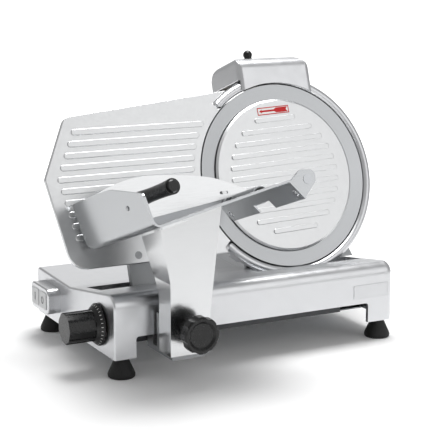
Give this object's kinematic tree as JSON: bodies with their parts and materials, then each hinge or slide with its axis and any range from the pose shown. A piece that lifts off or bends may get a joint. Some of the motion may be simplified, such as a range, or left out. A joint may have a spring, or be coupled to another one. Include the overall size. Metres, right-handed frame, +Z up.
{
  "type": "deli meat slicer",
  "caption": "Countertop meat slicer: tilted round blade with ring guard, ribbed thickness plate, sliding tray with pusher, dial, switch and sharpener on a low cast base with rubber feet.",
  "frame": {"origin": "bottom centre of the whole machine, on the table", "axes": "+X right along the carriage travel, +Y away from the user, +Z up; the blade leans back 18.5 degrees about X"},
  "size_m": [0.4945, 0.3844, 0.3731],
  "materials": {
    "base_casting": "satin polished cast aluminium",
    "cast_back": "plain cast aluminium",
    "satin_sheet": "satin anodised aluminium sheet",
    "gauge_white": "satin anodised aluminium",
    "cover_white": "satin anodised aluminium",
    "blade_steel": "ground tool steel",
    "steel": "turned steel",
    "bright_steel": "polished steel rod",
    "zinc_screw": "zinc plated",
    "black_plastic": "black moulded plastic",
    "dial_plastic": "black moulded plastic",
    "bar_paint": "dark grey steel",
    "rubber": "black rubber",
    "belt_rubber": "black ribbed belt",
    "bronze": "sintered bronze",
    "motor_paint": "black painted motor",
    "label_white": "printed film",
    "blank_grey": "thin blank plate",
    "button_black": "light grey moulded plastic",
    "button_on": "light grey moulded plastic",
    "housing_grey": "bright polished metal",
    "stone_grey": "bonded abrasive",
    "galvanised": "galvanised sheet"
  },
  "bodies": {
    "frame": {"base_casting": "base_casting", "bottom_plate": "galvanised", "bottom_plate_screws": "zinc_screw", "feet": "rubber", "foot_screws": "zinc_screw", "cable_gland": "black_plastic", "blank_plate": "blank_grey", "blade_cover_disc": "cover_white", "arrow_label": "label_white", "ring_guard": "base_casting", "ring_guard_screws": "zinc_screw", "blade_support": "cast_back", "bearings": "bright_steel", "drive_belt": "belt_rubber", "motor_case": "motor_paint", "motor_front_shield": "cast_back", "motor_screws": "zinc_screw", "rear_cover": "satin_sheet", "gauge_slide_rod": "steel", "dial_bush": "bronze", "carriage_rod": "bright_steel", "guide_bar": "bar_paint", "guide_bar_buffer": "rubber", "sharpener_post": "steel", "switch_housing": "housing_grey"},
    "blade_rotor": {"blade": "blade_steel", "blade_shaft": "steel", "blade_screws": "zinc_screw", "blade_pulley": "cast_back"},
    "motor_rotor": {"motor_rotor": "steel", "motor_pulley": "cast_back"},
    "gauge": {"gauge_plate": "gauge_white", "gauge_screws": "zinc_screw", "gauge_arm": "cast_back"},
    "dial": {"dial_knob": "dial_plastic", "dial_cam": "steel"},
    "carriage": {"carriage_block": "cast_back", "carriage_bushings": "bronze", "tray_pedestal": "satin_sheet", "tray": "satin_sheet", "tray_screws": "zinc_screw", "push_rod": "bright_steel"},
    "roller": {"carriage_roller": "steel"},
    "lock_knob": {"lock_knob": "black_plastic"},
    "pusher_slider": {"pusher_bush": "black_plastic"},
    "pusher": {"pusher_sleeve": "steel", "pusher_plate": "satin_sheet", "pusher_grip_strip": "steel", "pusher_grip": "black_plastic", "grip_bolt": "black_plastic"},
    "sharpener": {"sharpener_cap": "base_casting", "sharpener_head": "cast_back"},
    "sharpener_knob": {"sharpener_knob": "black_plastic"},
    "grind_push": {"grind_spindle": "steel"},
    "grind_wheel": {"grind_stone": "stone_grey"},
    "deburr_push": {"deburr_spindle": "steel"},
    "deburr_wheel": {"deburr_stone": "stone_grey"},
    "on_button": {"on_button": "button_on"},
    "off_button": {"off_button": "button_black"},
    "cover_screw": {"cover_tie_rod": "black_plastic"}
  },
  "joints": [
    {"name": "blade_spin", "type": "hinge", "parent": "frame", "child": "blade_rotor", "pos_m": [0.10875, 0.03344, 0.209], "axis": [0, -0.9483, 0.3173], "continuous": true},
    {"name": "motor_spin", "type": "hinge", "parent": "frame", "child": "motor_rotor", "pos_m": [0.11275, 0.09877, 0.09856], "axis": [0, -0.9483, 0.3173], "continuous": true},
    {"name": "gauge_slide", "type": "slide", "parent": "frame", "child": "gauge", "axis": [0, -0.9483, 0.3173], "range_m": [-0.012, 0]},
    {"name": "dial_turn", "type": "hinge", "parent": "frame", "child": "dial", "pos_m": [-0.20125, -0.04856, 0.06], "axis": [1, 0, 0], "range_deg": [0, 330]},
    {"name": "carriage_slide", "type": "slide", "parent": "frame", "child": "carriage", "axis": [1, 0, 0], "range_m": [0, 0.225]},
    {"name": "roller_spin", "type": "hinge", "parent": "carriage", "child": "roller", "pos_m": [-0.12575, -0.07586, 0.044], "axis": [0, 0, 1], "continuous": true},
    {"name": "lock_knob_turn", "type": "hinge", "parent": "carriage", "child": "lock_knob", "pos_m": [-0.12575, -0.16056, 0.068], "axis": [0, -1, 0], "range_deg": [0, 720]},
    {"name": "pusher_slide", "type": "slide", "parent": "carriage", "child": "pusher_slider", "axis": [0, -0.9483, 0.3173], "range_m": [0, 0.109]},
    {"name": "pusher_swing", "type": "hinge", "parent": "pusher_slider", "child": "pusher", "pos_m": [0.01335, -0.0395, 0.19586], "axis": [0, -0.9483, 0.3173], "range_deg": [-130, 0]},
    {"name": "sharpener_lift", "type": "slide", "parent": "frame", "child": "sharpener", "axis": [0, 0.3173, 0.9483], "range_m": [0, 0.03]},
    {"name": "sharpener_knob_turn", "type": "hinge", "parent": "sharpener", "child": "sharpener_knob", "pos_m": [0.08835, 0.10208, 0.36688], "axis": [0, 0.3173, 0.9483], "range_deg": [0, 720]},
    {"name": "grind_button", "type": "slide", "parent": "sharpener", "child": "grind_push", "axis": [0, -0.9483, 0.3173], "range_m": [0, 0.004], "stiffness_N_per_m": 500, "springref_m": -0.002},
    {"name": "grind_stone_spin", "type": "hinge", "parent": "grind_push", "child": "grind_wheel", "pos_m": [0.09275, 0.12948, 0.33293], "axis": [0, -0.9483, 0.3173], "continuous": true},
    {"name": "deburr_button", "type": "slide", "parent": "sharpener", "child": "deburr_push", "axis": [0, -0.9483, 0.3173], "range_m": [0, 0.004], "stiffness_N_per_m": 500, "springref_m": -0.002},
    {"name": "deburr_stone_spin", "type": "hinge", "parent": "deburr_push", "child": "deburr_wheel", "pos_m": [0.14075, 0.12948, 0.33293], "axis": [0, -0.9483, 0.3173], "continuous": true},
    {"name": "on_button_push", "type": "slide", "parent": "frame", "child": "on_button", "axis": [1, 0, 0], "range_m": [0, 0.0025], "stiffness_N_per_m": 400, "springref_m": -0.001},
    {"name": "off_button_push", "type": "slide", "parent": "frame", "child": "off_button", "axis": [1, 0, 0], "range_m": [0, 0.0025], "stiffness_N_per_m": 400, "springref_m": -0.001},
    {"name": "cover_screw_turn", "type": "hinge", "parent": "frame", "child": "cover_screw", "pos_m": [0.10875, 0.17095, 0.16299], "axis": [0, -0.9483, 0.3173], "range_deg": [0, 720]}
  ],
  "couplings": [
    {"joint": "motor_spin", "follows": "blade_spin", "ratio": 2.9231},
    {"joint": "dial_turn", "follows": "gauge_slide", "rad_per_m": -479.97},
    {"joint": "roller_spin", "follows": "carriage_slide", "rad_per_m": 142.86}
  ]
}
